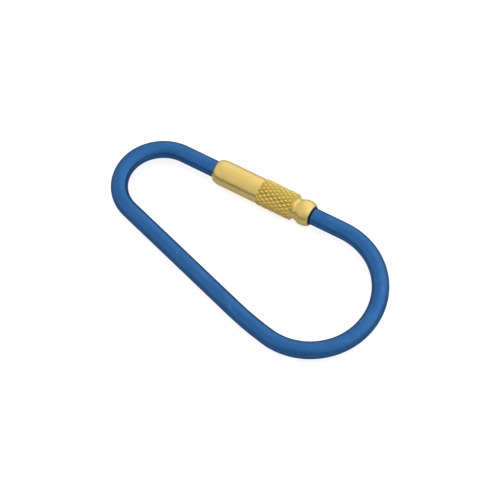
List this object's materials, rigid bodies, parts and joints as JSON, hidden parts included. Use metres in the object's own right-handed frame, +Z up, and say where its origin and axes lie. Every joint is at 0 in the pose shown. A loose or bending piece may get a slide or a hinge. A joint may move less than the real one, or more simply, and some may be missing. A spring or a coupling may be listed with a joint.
{
  "type": "locking carabiner",
  "caption": "Key-size locking carabiner: a round wire ring in an asymmetric D, closed by a brass screw sleeve that turns and travels along its gate side.",
  "frame": {"origin": "centre of the footprint of the ring lying flat, at the height of its lowest point, the underside of the sleeve's grip", "axes": "+X along the gate from the small bend to the large bend, +Y from the spine towards the gate, +Z up out of the ring's plane"},
  "size_m": [0.073, 0.0374, 0.0065],
  "materials": {
    "anodised_wire": "satin blue anodised, fine drawn surface",
    "brass_sleeve": "fine-turned bright brass, diamond knurl on the grip",
    "black_ring": "matt black rubber"
  },
  "bodies": {
    "frame": {"wire_frame": "anodised_wire"},
    "mouth": {"mouth_ring": "black_ring"},
    "sleeve": {"lock_sleeve": "brass_sleeve"}
  },
  "joints": [
    {"name": "sleeve_travel", "type": "slide", "parent": "frame", "child": "mouth", "axis": [-1, 0, 0], "range_m": [0, 0.0077]},
    {"name": "sleeve_turn", "type": "hinge", "parent": "mouth", "child": "sleeve", "pos_m": [-0.0157, 0.01548, 0.00325], "axis": [-1, 0, 0], "range_deg": [0, 3960]}
  ],
  "couplings": [
    {"joint": "sleeve_turn", "follows": "sleeve_travel", "rad_per_m": 8976}
  ]
}
